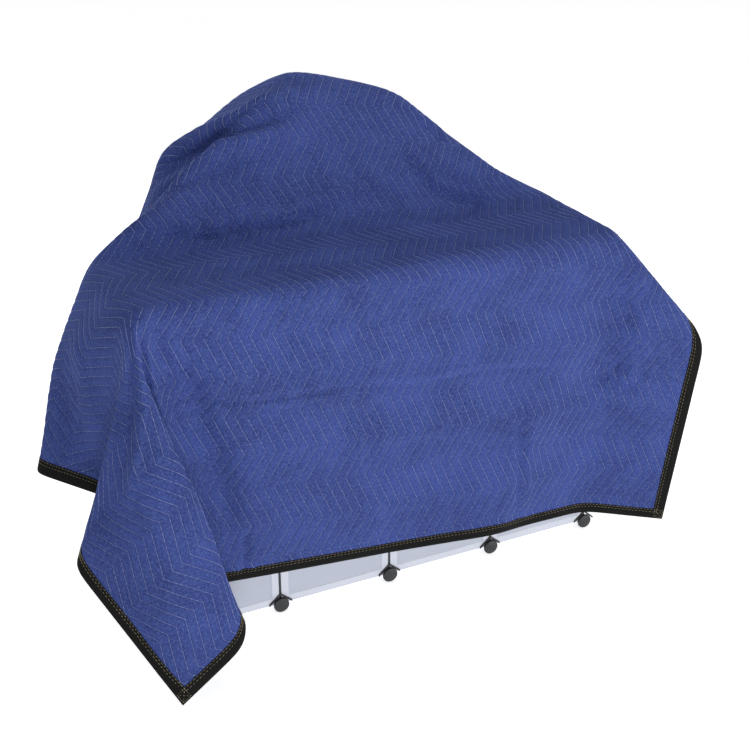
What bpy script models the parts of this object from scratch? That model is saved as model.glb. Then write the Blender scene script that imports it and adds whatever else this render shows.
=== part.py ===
"""A quilted moving blanket draped over a plain modular storage rack.

The blanket is one quilted panel with a binding sewn round its border. It lies askew over a row of
four bays, rises over a box that stands on the shorter row behind, and hangs free at every side.
Metres, +Z up. The rack's front runs along +X and faces -Y. The origin is on the floor, below the
middle of the whole.
"""

import bmesh
import bpy
import numpy as np
from mathutils import Matrix, Vector
from mathutils.geometry import delaunay_2d_cdt

# The blanket, laid flat: s runs along the long side, t along the short side.
LONG_SIDE = 2.03
SHORT_SIDE = 1.83
BINDING_WIDTH = 0.030
BINDING_WALL = 0.0012
SEWN_GAP = 0.0004
PANEL_EDGE = BINDING_WALL + SEWN_GAP

# Quilting: zigzag rows of stitches that run from the front hem to the back hem.
CREST_THICKNESS = 0.0060
STITCHED_THICKNESS = 0.0030
QUILT_COLUMNS = 74
ZIGZAG_WIDTH = 0.053
ZIGZAG_STEP = 0.100
FIRST_KINK = 0.045
KINKS = 18
ZIGZAG_FADE = 0.070

# How softly the thick cloth turns over a fold, and the spacing at which that is worked out.
FOLD_ROUNDING = 0.028
DRAPE_CELL = 0.010

# Places this close are one place, and how far outside a facet a node may lie by rounding errors.
SAME_PLACE = 0.00001
EDGE_SLACK = 0.000001

# How a broad fold runs out: the share of its length at each end, and the height left there.
FOLD_END_SHARE = 0.18
FOLD_END_HEIGHT = 0.35

# Padding is squeezed where a sharp fold gathers it: thickness shares at the sharpest folds.
FREE_AREA_RATIO = 0.85
LEAST_SQUEEZE = 0.3
LEAST_BORDER_SQUEEZE = 0.5

# The rack: bays of plates between slim posts, with round connectors at the feet.
BAY = 0.310
BAYS = 4
DOOR_ROWS = 3
RACK_TOP = 0.880
PLATE = 0.004
POST = 0.0054
POST_DEPTH = 0.018
DOOR_THICKNESS = 0.004
DOOR_BOTTOM = 0.020
DOOR_ROW_GAP = 0.006
GAP = 0.0003
REAR_FIRST_BAY = 1
REAR_BAYS = 2
CONNECTOR_RADIUS = 0.0205
CONNECTOR_THICKNESS = 0.007
CONNECTOR_SIDES = 20
ROOF_RISE = 0.033
ROOF_REACH = 0.031
ROOF_BAR = 0.006
ROOF_THICKNESS = 0.003
FOOT_FLAT = 0.0006
DISC_SINK = 0.001
FLOOR_TOOL_DEPTH = 0.041

# The box that stands on the rear row and lifts the middle of the blanket.
TOP_BOX_LOW = (0.530, 0.450)
TOP_BOX_HIGH = (0.835, 0.620)
TOP_BOX_TOP = 1.172

# The rack's top plate stops short of its ends; round caps over the middle posts carry the cloth.
TOP_PLATE_INSET = 0.015
CAP_TOP = 0.8866
CAP_SETBACK = 0.004

# Points of the drape: place in the flat cloth (s, t), then place over the rack (x, y, z), where
# x = 0 is the rack's left end, y = 0 its front and z = 0 the floor.
DRAPE_POINTS = {
    # front hem, from the hanging corner flap to the right corner
    "flap_tip": (0.000, 0.000, -0.040, -0.290, 0.040),
    "flap_ridge": (0.185, 0.000, 0.127, -0.245, 0.116),
    "flap_ridge_2": (0.275, 0.000, 0.156, -0.190, 0.158),
    "flap_back": (0.505, 0.000, -0.030, -0.075, 0.168),
    "front_0": (0.555, 0.000, -0.008, -0.030, 0.168),
    "front_1": (0.850, 0.000, 0.266, -0.032, 0.140),
    "front_2": (1.200, 0.000, 0.614, -0.038, 0.114),
    "front_3": (1.480, 0.000, 0.893, -0.070, 0.104),
    "front_4": (1.610, 0.000, 1.018, -0.030, 0.078),
    "front_5": (1.800, 0.000, 1.212, -0.030, 0.074),
    "right_tip": (2.030, 0.000, 1.425, -0.120, 0.040),
    # right hem
    "right_nose": (2.030, 0.520, 1.508, -0.112, 0.562),
    "right_nose_high": (2.030, 0.612, 1.492, -0.050, 0.626),
    "right_in": (2.030, 0.860, 1.300, 0.045, 0.652),
    "right_mid": (2.030, 1.120, 1.330, 0.270, 0.640),
    "right_nose_2": (2.030, 1.420, 1.420, 0.500, 0.640),
    "back_right": (2.030, 1.830, 1.230, 0.760, 0.570),
    # back hem
    "back_3": (1.660, 1.830, 1.080, 0.680, 0.850),
    "back_2": (1.285, 1.830, 0.870, 0.690, 1.075),
    "back_1": (0.925, 1.830, 0.500, 0.700, 1.060),
    "back_0": (0.620, 1.830, 0.250, 0.660, 0.900),
    "back_left": (0.000, 1.830, 0.120, 0.760, 0.380),
    # left hem
    "left_nose_2": (0.000, 1.500, -0.060, 0.560, 0.440),
    "left_in_2": (0.000, 1.200, -0.010, 0.380, 0.420),
    "left_nose": (0.000, 0.930, -0.228, 0.225, 0.425),
    "left_in": (0.000, 0.660, -0.070, 0.050, 0.398),
    "flap_left": (0.000, 0.410, -0.205, -0.060, 0.325),
    # over the front row
    "front_left": (0.500, 0.720, -0.020, -0.035, 0.890),
    "front_right": (1.780, 0.832, 1.270, -0.035, 0.890),
    "rear_left": (0.469, 1.079, -0.025, 0.330, 0.890),
    "rear_right": (1.749, 1.191, 1.262, 0.330, 0.905),
    "dip_left": (0.989, 1.094, 0.500, 0.280, 0.905),
    "dip_right": (1.347, 1.126, 0.860, 0.280, 0.900),
    # over the box behind
    "box_front_left": (0.957, 1.462, 0.500, 0.430, 1.220),
    "box_front_right": (1.316, 1.484, 0.865, 0.430, 1.190),
    "box_back_right": (1.294, 1.713, 0.860, 0.650, 1.175),
    "box_back_left": (0.935, 1.692, 0.485, 0.640, 1.190),
    "peak": (1.030, 1.570, 0.580, 0.530, 1.262),
    # hanging between the box and the corners
    "left_valley": (0.220, 1.000, -0.155, 0.280, 0.665),
    "left_ridge": (0.550, 1.380, 0.170, 0.460, 0.940),
    "left_ridge_2": (0.660, 1.600, 0.240, 0.560, 1.055),
    "right_ridge": (1.460, 1.390, 0.985, 0.395, 1.085),
    "right_ridge_2": (1.600, 1.290, 1.120, 0.360, 0.985),
}

# Folds: each joins two of the points above by a straight line in the flat cloth.
FOLDS = (
    ("front_left", "front_right"),
    ("front_left", "rear_left"),
    ("front_right", "rear_right"),
    ("rear_left", "dip_left"),
    ("dip_left", "dip_right"),
    ("dip_right", "rear_right"),
    ("rear_left", "box_front_left"),
    ("box_front_left", "box_front_right"),
    ("box_front_right", "right_ridge"),
    ("right_ridge", "right_ridge_2"),
    ("right_ridge_2", "rear_right"),
    ("box_front_right", "box_back_right"),
    ("box_back_right", "box_back_left"),
    ("box_back_left", "box_front_left"),
    ("box_front_left", "peak"),
    ("peak", "box_front_right"),
    ("peak", "box_back_right"),
    ("peak", "box_back_left"),
    ("front_left", "flap_tip"),
    ("front_left", "flap_ridge"),
    ("front_left", "flap_ridge_2"),
    ("front_left", "flap_back"),
    ("front_left", "front_0"),
    ("front_left", "flap_left"),
    ("front_left", "left_in"),
    ("rear_left", "left_valley"),
    ("left_valley", "left_nose"),
    ("left_valley", "front_left"),
    ("front_right", "right_nose"),
    ("front_right", "right_nose_high"),
    ("front_right", "right_tip"),
    ("front_right", "front_5"),
    ("front_right", "right_in"),
    ("rear_left", "left_in_2"),
    ("box_front_left", "left_ridge_2"),
    ("rear_left", "left_ridge"),
    ("left_ridge", "box_front_left"),
    ("dip_left", "box_front_left"),
    ("dip_right", "box_front_right"),
    ("rear_left", "left_nose_2"),
    ("left_ridge_2", "left_nose_2"),
    ("rear_right", "right_nose_2"),
    ("rear_right", "right_mid"),
)

# Broad soft folds on top of the facets: height outwards (a trough's is negative), width, and the
# flat places that the fold runs through.
BROAD_FOLDS = (
    (0.017, 0.034, ((0.620, 1.640), (0.767, 1.560), (0.864, 1.478), (0.960, 1.452), (1.060, 1.475))),
    (-0.013, 0.030, ((0.610, 1.530), (0.748, 1.480), (0.864, 1.405), (0.985, 1.400))),
    (0.014, 0.032, ((0.640, 1.290), (0.751, 1.335), (0.870, 1.330), (0.997, 1.350))),
    (-0.009, 0.036, ((0.600, 1.220), (0.720, 1.262), (0.860, 1.262))),
    (0.010, 0.040, ((0.570, 0.895), (0.701, 0.925), (0.821, 0.930), (1.060, 0.905), (1.230, 0.915))),
    (-0.020, 0.050, ((0.380, 0.625), (0.310, 0.575), (0.199, 0.498), (0.090, 0.430))),
    (-0.010, 0.034, ((0.625, 0.590), (0.650, 0.480), (0.685, 0.370), (0.722, 0.250), (0.755, 0.110))),
    (0.006, 0.036, ((0.400, 0.440), (0.350, 0.320), (0.300, 0.180))),
    (0.006, 0.040, ((0.360, 0.900), (0.230, 0.835), (0.120, 0.780))),
    (-0.005, 0.036, ((0.330, 0.985), (0.210, 0.915), (0.100, 0.870))),
    (0.010, 0.038, ((0.400, 1.260), (0.270, 1.300), (0.130, 1.330))),
    (-0.010, 0.036, ((1.372, 1.235), (1.450, 1.205), (1.540, 1.175))),
    (0.012, 0.040, ((1.370, 1.310), (1.460, 1.275), (1.560, 1.235))),
    (0.010, 0.034, ((1.800, 0.770), (1.845, 0.620), (1.880, 0.440))),
    (-0.008, 0.034, ((1.730, 0.700), (1.775, 0.540), (1.810, 0.360))),
    (0.011, 0.040, ((1.560, 1.480), (1.700, 1.500), (1.860, 1.560))),
    (-0.010, 0.040, ((1.600, 1.390), (1.740, 1.380), (1.900, 1.400))),
)


def clear_scene():
    """Remove every object of the open scene."""
    for item in list(bpy.data.objects):
        bpy.data.objects.remove(item, do_unlink=True)


def new_collection(name):
    """A new collection in the scene."""
    collection = bpy.data.collections.new(name)
    bpy.context.scene.collection.children.link(collection)
    return collection


def new_material(name, colour, roughness):
    """A Principled BSDF material of a non-metal with one colour and roughness."""
    material = bpy.data.materials.new(name)
    material.use_nodes = True
    shader = material.node_tree.nodes["Principled BSDF"]
    shader.inputs["Base Color"].default_value = (*colour, 1.0)
    shader.inputs["Roughness"].default_value = roughness
    shader.inputs["Metallic"].default_value = 0.0
    return material


def add_object(name, mesh, material, collection):
    """Link a mesh as a named object with its material."""
    piece = bpy.data.objects.new(name, mesh)
    mesh.materials.clear()
    mesh.materials.append(material)
    collection.objects.link(piece)
    return piece


def name_and_file(piece, name, material, collection):
    """Name a primitive that was just added, give it a material and move it to a collection."""
    piece.name = name
    piece.data.name = name
    piece.data.materials.append(material)
    for other in list(piece.users_collection):
        other.objects.unlink(piece)
    collection.objects.link(piece)
    return piece


def plate(name, low, high, material, collection):
    """A box between two corners, from Blender's cube primitive."""
    low = Vector(low)
    high = Vector(high)
    bpy.ops.mesh.primitive_cube_add(size=1.0, location=(low + high) / 2.0)
    piece = bpy.context.object
    piece.data.transform(Matrix.Diagonal((*(high - low), 1.0)))
    return name_and_file(piece, name, material, collection)


def drape_facets():
    """Cut the flat cloth into triangles whose edges include every fold."""
    names = list(DRAPE_POINTS)
    table = np.array([DRAPE_POINTS[name] for name in names])
    flat = [Vector((row[0], row[1])) for row in table]
    folds = [(names.index(a), names.index(b)) for a, b in FOLDS]
    result = delaunay_2d_cdt(flat, folds, [], 0, SAME_PLACE)
    source = [found[0] for found in result[3]]
    triangles = [tuple(source[corner] for corner in face) for face in result[2]]
    return table, triangles


def round_folds(grid, cell, reach):
    """Blend a grid with a bell curve along both its directions, keeping its border where it is.

    Past the border the grid is continued by turning it about each border point.
    """
    count = int(np.ceil(3.0 * reach / cell))
    steps = np.arange(-count, count + 1) * cell / reach
    weights = np.exp(-0.5 * steps ** 2)
    weights /= weights.sum()
    rows, columns = grid.shape[:2]
    wide = np.pad(grid, ((count, count), (count, count), (0, 0)), mode="reflect", reflect_type="odd")
    wide = sum(weight * wide[k:k + rows] for k, weight in enumerate(weights))
    return sum(weight * wide[:, k:k + columns] for k, weight in enumerate(weights))


def along_line(s, t, places):
    """Distance of flat places from a line of points, and how far along the line they lie, 0 to 1.

    For each stretch the foot of the perpendicular is held between its ends. The nearest foot counts.
    """
    points = np.array(places)
    steps = np.diff(points, axis=0)
    lengths = np.hypot(steps[:, 0], steps[:, 1])
    starts = np.concatenate(([0.0], np.cumsum(lengths)))
    nearest = np.full(s.shape, np.inf)
    share = np.zeros(s.shape)
    for k, (step, length) in enumerate(zip(steps, lengths)):
        foot = ((s - points[k, 0]) * step[0] + (t - points[k, 1]) * step[1]) / length ** 2
        foot = np.clip(foot, 0.0, 1.0)
        gap = np.hypot(s - points[k, 0] - foot * step[0], t - points[k, 1] - foot * step[1])
        closer = gap < nearest
        nearest = np.where(closer, gap, nearest)
        share = np.where(closer, (starts[k] + foot * length) / starts[-1], share)
    return nearest, share


def fold_relief(s, t, folds):
    """Sum of soft folds: each is its height times a bell of the distance, lower at its two ends."""
    total = np.zeros(s.shape)
    for height, width, places in folds:
        gap, share = along_line(s, t, places)
        fade = np.clip(np.minimum(share, 1.0 - share) / FOLD_END_SHARE, 0.0, 1.0)
        strength = FOLD_END_HEIGHT + (1.0 - FOLD_END_HEIGHT) * fade * fade * (3.0 - 2.0 * fade)
        total += height * strength * np.exp(-(gap / width) ** 2)
    return total


def surface_frame(place, s_nodes, t_nodes):
    """Outward normals and area ratios of a grid of places, from its slopes along s and t."""
    along_s, along_t = np.gradient(place, s_nodes, t_nodes, axis=(0, 1))
    normal = np.cross(along_s, along_t)
    area_ratio = np.linalg.norm(normal, axis=2, keepdims=True)
    return normal / area_ratio, area_ratio


def drape_grids():
    """The draped cloth's middle surface, outward normals and area ratios, on a regular flat grid.

    Each grid node lies in one facet. Its place is the mean of the facet's corners, weighted by its
    barycentric coordinates in the flat cloth. The folds are then rounded and the broad soft folds
    are added along the normals. The area ratio is small where a sharp fold gathers the cloth.
    """
    table, triangles = drape_facets()
    s_nodes = np.linspace(0.0, LONG_SIDE, int(round(LONG_SIDE / DRAPE_CELL)) + 1)
    t_nodes = np.linspace(0.0, SHORT_SIDE, int(round(SHORT_SIDE / DRAPE_CELL)) + 1)
    s, t = np.meshgrid(s_nodes, t_nodes, indexing="ij")
    place = np.zeros(s.shape + (3,))
    for corners in triangles:
        a, b, c = (table[corner] for corner in corners)
        area = (b[0] - a[0]) * (c[1] - a[1]) - (c[0] - a[0]) * (b[1] - a[1])
        if abs(area) < SAME_PLACE ** 2:
            continue
        u = ((s - a[0]) * (c[1] - a[1]) - (c[0] - a[0]) * (t - a[1])) / area
        v = ((b[0] - a[0]) * (t - a[1]) - (s - a[0]) * (b[1] - a[1])) / area
        inside = (u >= -EDGE_SLACK) & (v >= -EDGE_SLACK) & (u + v <= 1.0 + EDGE_SLACK)
        w = 1.0 - u - v
        blend = w[..., None] * a[2:] + u[..., None] * b[2:] + v[..., None] * c[2:]
        place[inside] = blend[inside]
    place = round_folds(place, DRAPE_CELL, FOLD_ROUNDING)
    facet_normal, area_ratio = surface_frame(place, s_nodes, t_nodes)
    place = place + facet_normal * fold_relief(s, t, BROAD_FOLDS)[..., None]
    normal, _ = surface_frame(place, s_nodes, t_nodes)
    return place, normal, area_ratio


def sample(grid, s, t):
    """Values of a grid at flat places, blended linearly between the four nearest nodes."""
    rows, columns = grid.shape[:2]
    x = np.clip(s / LONG_SIDE, 0.0, 1.0) * (rows - 1)
    y = np.clip(t / SHORT_SIDE, 0.0, 1.0) * (columns - 1)
    i = np.minimum(x.astype(int), rows - 2)
    j = np.minimum(y.astype(int), columns - 2)
    fx = (x - i)[..., None]
    fy = (y - j)[..., None]
    near = grid[i, j] * (1.0 - fy) + grid[i, j + 1] * fy
    far = grid[i + 1, j] * (1.0 - fy) + grid[i + 1, j + 1] * fy
    return near * (1.0 - fx) + far * fx


def zigzag(t):
    """Sideways step of a stitch row at t: a triangle wave that starts at a kink towards -s."""
    phase = np.mod((t - FIRST_KINK) / ZIGZAG_STEP, 2.0)
    return ZIGZAG_WIDTH * (0.5 - np.abs(phase - 1.0))


def quilt_stations():
    """Flat places and half thicknesses of the panel's grid of points.

    Columns follow the stitch rows, a stitched one and a full one by turns, and straighten towards
    the side hems. Rows pass through every kink and halfway between two kinks. The outermost
    station is the panel's cut edge and the next one the binding's inner edge.
    """
    inner = np.linspace(BINDING_WIDTH, LONG_SIDE - BINDING_WIDTH, QUILT_COLUMNS + 1)
    s_rest = np.concatenate(([PANEL_EDGE], inner, [LONG_SIDE - PANEL_EDGE]))
    kinks = FIRST_KINK + ZIGZAG_STEP / 2.0 * np.arange(2 * KINKS - 2)
    t_rest = np.concatenate(([PANEL_EDGE, BINDING_WIDTH], kinks,
                             [SHORT_SIDE - BINDING_WIDTH, SHORT_SIDE - PANEL_EDGE]))
    to_hem = np.minimum(s_rest, LONG_SIDE - s_rest) - BINDING_WIDTH
    strength = np.clip(to_hem / ZIGZAG_FADE, 0.0, 1.0)
    s, t = np.meshgrid(s_rest, t_rest, indexing="ij")
    s = s + strength[:, None] * zigzag(t)
    half = np.full(s.shape, STITCHED_THICKNESS / 2.0)
    half[2:-2:2, 2:-2] = CREST_THICKNESS / 2.0
    return s, t, half


def split_cell(corners, turned):
    """Two triangles of a four-cornered cell, split along its first or its second diagonal."""
    a, b, c, d = corners
    if turned:
        return [(a, b, d), (b, c, d)]
    return [(a, b, c), (a, c, d)]


def is_turned(i, j, last_i, last_j):
    """Whether a cell splits along its second diagonal, so that the binding's facets match."""
    if j in (0, last_j) and i in (0, last_i):
        return (i == 0) != (j == 0)
    return i in (0, last_i)


def quilted_panel(place, normal, half):
    """Closed solid of the panel: both faces at half a thickness from its middle, and a rim."""
    columns, rows = half.shape
    upper = place + normal * half[..., None]
    lower = place - normal * half[..., None]
    points = np.concatenate((upper.reshape(-1, 3), lower.reshape(-1, 3)))
    number = np.arange(columns * rows).reshape(columns, rows)
    below = columns * rows
    faces = []
    for i in range(columns - 1):
        for j in range(rows - 1):
            cell = (number[i, j], number[i + 1, j], number[i + 1, j + 1], number[i, j + 1])
            for a, b, c in split_cell(cell, is_turned(i, j, columns - 2, rows - 2)):
                faces.append((a, b, c))
                faces.append((c + below, b + below, a + below))
    loop = border_loop(columns, rows)
    for (outer, _), (following, _) in zip(loop, loop[1:] + loop[:1]):
        a = number[outer]
        b = number[following]
        faces.append((a, a + below, b))
        faces.append((a + below, b + below, b))
    return points, faces


def border_loop(columns, rows):
    """Pairs of grid places, on the cut edge and one station inwards, once round the panel."""
    last_i = columns - 1
    last_j = rows - 1
    loop = [((0, 0), (1, 1))]
    loop += [((i, 0), (i, 1)) for i in range(1, last_i)]
    loop += [((last_i, 0), (last_i - 1, 1))]
    loop += [((last_i, j), (last_i - 1, j)) for j in range(1, last_j)]
    loop += [((last_i, last_j), (last_i - 1, last_j - 1))]
    loop += [((i, last_j), (i, last_j - 1)) for i in range(last_i - 1, 0, -1)]
    loop += [((0, last_j), (1, last_j - 1))]
    loop += [((0, j), (1, j)) for j in range(last_j - 1, 0, -1)]
    return loop


def binding_ring(place, normal):
    """Closed solid of the binding: a strip folded over the cut edge, mitred at the corners.

    Its section is a U: (share of the way from the fold to the inner edge, offset along the normal).
    """
    outside = STITCHED_THICKNESS / 2.0 + SEWN_GAP + BINDING_WALL
    inside = STITCHED_THICKNESS / 2.0 + SEWN_GAP
    section = (
        (0.0, outside),
        (0.0, -outside),
        (BINDING_WIDTH, -outside),
        (BINDING_WIDTH, -inside),
        (BINDING_WALL, -inside),
        (BINDING_WALL, inside),
        (BINDING_WIDTH, inside),
        (BINDING_WIDTH, outside),
    )
    loop = border_loop(*place.shape[:2])
    points = []
    known = {}

    def vertex(station, step):
        outer, inner = loop[station]
        width, offset = section[step]
        key = (inner if width == BINDING_WIDTH else outer, step)
        if key not in known:
            share = (width - PANEL_EDGE) / (BINDING_WIDTH - PANEL_EDGE)
            middle = place[outer] * (1.0 - share) + place[inner] * share
            lean = normal[outer] * (1.0 - share) + normal[inner] * share
            known[key] = len(points)
            points.append(middle + lean * offset)
        return known[key]

    faces = []
    for station in range(len(loop)):
        after = (station + 1) % len(loop)
        for step in range(len(section)):
            step_after = (step + 1) % len(section)
            cell = (vertex(station, step), vertex(station, step_after),
                    vertex(after, step_after), vertex(after, step))
            towards_inner = section[step_after][0] >= section[step][0]
            for face in split_cell(cell, not towards_inner):
                if len(set(face)) == 3:
                    faces.append(face)
    return np.array(points), faces


def mesh_from(name, points, faces):
    """A mesh of the given points and faces with every face turned outwards."""
    mesh = bpy.data.meshes.new(name)
    mesh.from_pydata(points.tolist(), [], [tuple(int(k) for k in face) for face in faces])
    work = bmesh.new()
    work.from_mesh(mesh)
    bmesh.ops.recalc_face_normals(work, faces=work.faces[:])
    work.to_mesh(mesh)
    work.free()
    return mesh


def build_blanket(collection, cloth, tape):
    """The quilted panel and its binding, draped."""
    place_grid, normal_grid, area_grid = drape_grids()
    s, t, half = quilt_stations()
    place = sample(place_grid, s, t)
    normal = sample(normal_grid, s, t)
    normal /= np.linalg.norm(normal, axis=2, keepdims=True)
    squeezed = np.clip(sample(area_grid, s, t) / FREE_AREA_RATIO, LEAST_SQUEEZE, 1.0)
    for border in (squeezed[:2], squeezed[-2:], squeezed[:, :2], squeezed[:, -2:]):
        border[:] = np.maximum(border, LEAST_BORDER_SQUEEZE)
    normal *= squeezed
    panel = mesh_from("blanket_panel", *quilted_panel(place, normal, half))
    ring = mesh_from("blanket_binding", *binding_ring(place, normal))
    return [add_object("blanket_panel", panel, cloth, collection),
            add_object("blanket_binding", ring, tape, collection)]


def build_front_row(collection, frosted, black):
    """The row of four bays: posts, doors, shelves, side plates, back and top."""
    pieces = []
    length = BAY * BAYS
    depth = BAY
    half = POST / 2.0
    for k in range(BAYS + 1):
        x = k * BAY
        pieces.append(plate(f"post_front_{k}", (x - half, 0.0, 0.0),
                            (x + half, POST_DEPTH, RACK_TOP - PLATE - GAP), black, collection))
        pieces.append(plate(f"post_back_{k}", (x - half, depth - POST_DEPTH, 0.0),
                            (x + half, depth, RACK_TOP - PLATE - GAP), black, collection))
    door_pitch = (RACK_TOP - PLATE - GAP - DOOR_BOTTOM) / DOOR_ROWS
    for row in range(DOOR_ROWS):
        bottom = DOOR_BOTTOM + row * door_pitch
        for k in range(BAYS):
            low = (k * BAY + half + GAP, 0.0, bottom)
            high = ((k + 1) * BAY - half - GAP, DOOR_THICKNESS, bottom + door_pitch - DOOR_ROW_GAP)
            pieces.append(plate(f"door_{row}_{k}", low, high, frosted, collection))
    inner_front = POST_DEPTH + GAP
    inner_back = depth - POST_DEPTH - GAP
    for row in range(DOOR_ROWS):
        bottom = DOOR_BOTTOM + row * door_pitch
        pieces.append(plate(f"shelf_{row}", (half + GAP, inner_front, bottom),
                            (length - half - GAP, inner_back, bottom + PLATE), frosted, collection))
    for name, x in (("side_left", 0.0), ("side_right", length)):
        pieces.append(plate(name, (x - half, inner_front, 0.0),
                            (x + half, inner_back, RACK_TOP - PLATE - GAP), frosted, collection))
    pieces.append(plate("front_row_back", (-half, depth + GAP, DOOR_BOTTOM),
                        (length + half, depth + GAP + PLATE, RACK_TOP - PLATE - GAP),
                        frosted, collection))
    pieces.append(plate("front_row_top", (TOP_PLATE_INSET, 0.0, RACK_TOP - PLATE),
                        (length - TOP_PLATE_INSET, depth + GAP + PLATE, RACK_TOP),
                        frosted, collection))
    return pieces


def build_caps(collection, black):
    """A flat round cap over each middle post, on the top plate, where the cloth is carried."""
    pieces = []
    height = CAP_TOP - RACK_TOP - GAP
    for k in range(1, BAYS):
        bpy.ops.mesh.primitive_cylinder_add(
            vertices=CONNECTOR_SIDES, radius=CONNECTOR_RADIUS, depth=height,
            location=(k * BAY, CAP_SETBACK + CONNECTOR_RADIUS, CAP_TOP - height / 2.0))
        pieces.append(name_and_file(bpy.context.object, f"cap_{k}", black, collection))
    return pieces


def build_rear_row(collection, frosted):
    """The shorter row behind: two side plates, a back and a top."""
    pieces = []
    left = REAR_FIRST_BAY * BAY
    right = left + REAR_BAYS * BAY
    front = BAY + 2.0 * GAP + PLATE
    back = 2.0 * BAY
    half = PLATE / 2.0
    top = RACK_TOP - PLATE
    for name, x in (("rear_side_left", left), ("rear_side_right", right)):
        pieces.append(plate(name, (x - half, front, 0.0), (x + half, back, top - GAP),
                            frosted, collection))
    pieces.append(plate("rear_row_back", (left - half, back + GAP, 0.0),
                        (right + half, back + GAP + PLATE, top - GAP), frosted, collection))
    pieces.append(plate("rear_row_top", (left - half, front, top),
                        (right + half, back + GAP + PLATE, RACK_TOP), frosted, collection))
    return pieces


def build_top_box(collection, frosted):
    """The box under the blanket's peak: four walls and a lid."""
    left, front = TOP_BOX_LOW
    right, back = TOP_BOX_HIGH
    bottom = RACK_TOP + GAP
    rim = TOP_BOX_TOP - PLATE
    pieces = [
        plate("top_box_front", (left, front, bottom), (right, front + PLATE, rim - GAP),
              frosted, collection),
        plate("top_box_back", (left, back - PLATE, bottom), (right, back, rim - GAP),
              frosted, collection),
        plate("top_box_lid", (left, front, rim), (right, back, TOP_BOX_TOP), frosted, collection),
    ]
    for name, x in (("top_box_left", left), ("top_box_right", right - PLATE)):
        pieces.append(plate(name, (x, front + PLATE + GAP, bottom),
                            (x + PLATE, back - PLATE - GAP, rim - GAP), frosted, collection))
    return pieces


def roof_bar_mesh():
    """The connector's roof: a flat bar bent over the disc, as an outline with a thickness."""
    outline = bpy.data.curves.new("connector_roof", "CURVE")
    outline.dimensions = "2D"
    outline.fill_mode = "BOTH"
    outline.extrude = ROOF_THICKNESS / 2.0
    spline = outline.splines.new("POLY")
    corners = ((-ROOF_REACH, 0.0), (0.0, ROOF_RISE - ROOF_BAR), (ROOF_REACH, 0.0),
               (ROOF_REACH, ROOF_BAR), (0.0, ROOF_RISE), (-ROOF_REACH, ROOF_BAR))
    spline.points.add(len(corners) - 1)
    for point, (x, z) in zip(spline.points, corners):
        point.co = (x, z, 0.0, 1.0)
    spline.use_cyclic_u = True
    source = bpy.data.objects.new("connector_roof", outline)
    bpy.context.scene.collection.objects.link(source)
    depsgraph = bpy.context.evaluated_depsgraph_get()
    mesh = bpy.data.meshes.new_from_object(source.evaluated_get(depsgraph))
    bpy.data.objects.remove(source, do_unlink=True)
    work = bmesh.new()
    work.from_mesh(mesh)
    bmesh.ops.remove_doubles(work, verts=work.verts[:], dist=SAME_PLACE)
    bmesh.ops.recalc_face_normals(work, faces=work.faces[:])
    work.to_mesh(mesh)
    work.free()
    mesh.transform(Matrix.Rotation(np.pi / 2.0, 4, "X"))
    return mesh


def build_connectors(collection, cutters, black):
    """A round connector at the foot of each front post: a disc with a roof behind it."""
    roof = bpy.data.objects.new("connector_roof_tool", roof_bar_mesh())
    roof.location = (0.0, -GAP - ROOF_THICKNESS / 2.0, CONNECTOR_RADIUS - FOOT_FLAT)
    roof.hide_render = True
    roof.display_type = "WIRE"
    cutters.objects.link(roof)
    floor = bpy.data.objects.new("connector_floor_tool", bpy.data.meshes.new("connector_floor_tool"))
    work = bmesh.new()
    bmesh.ops.create_cube(work, size=2.0 * FLOOR_TOOL_DEPTH)
    work.to_mesh(floor.data)
    work.free()
    floor.location = (0.0, 0.0, -FLOOR_TOOL_DEPTH)
    floor.hide_render = True
    floor.display_type = "WIRE"
    cutters.objects.link(floor)
    disc_back = -GAP - ROOF_THICKNESS + DISC_SINK
    bpy.ops.mesh.primitive_cylinder_add(vertices=CONNECTOR_SIDES, radius=CONNECTOR_RADIUS,
                                        depth=CONNECTOR_THICKNESS)
    disc = bpy.context.object
    disc.data.transform(Matrix.Rotation(np.pi / 2.0, 4, "X"))
    disc.data.transform(Matrix.Translation((0.0, disc_back - CONNECTOR_THICKNESS / 2.0,
                                            CONNECTOR_RADIUS - FOOT_FLAT)))
    for tool, operation in ((roof, "UNION"), (floor, "DIFFERENCE")):
        cut = disc.modifiers.new(tool.name, "BOOLEAN")
        cut.object = tool
        cut.operation = operation
        cut.solver = "EXACT"
    depsgraph = bpy.context.evaluated_depsgraph_get()
    mesh = bpy.data.meshes.new_from_object(disc.evaluated_get(depsgraph))
    bpy.data.objects.remove(disc, do_unlink=True)
    mesh.name = "connector"
    pieces = []
    for k in range(BAYS + 1):
        piece = add_object(f"connector_{k}", mesh, black, collection)
        piece.location = (k * BAY, 0.0, 0.0)
        pieces.append(piece)
    return pieces


def stand_at_origin(pieces, collection):
    """Parent every piece to an empty that brings the middle of the whole over the origin."""
    bpy.context.view_layer.update()
    corners = np.array([piece.matrix_world @ Vector(corner)
                        for piece in pieces for corner in piece.bound_box])
    middle = (corners.min(axis=0) + corners.max(axis=0)) / 2.0
    anchor = bpy.data.objects.new("rack_corner", None)
    collection.objects.link(anchor)
    anchor.location = (-middle[0], -middle[1], 0.0)
    for piece in pieces:
        piece.parent = anchor


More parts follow.
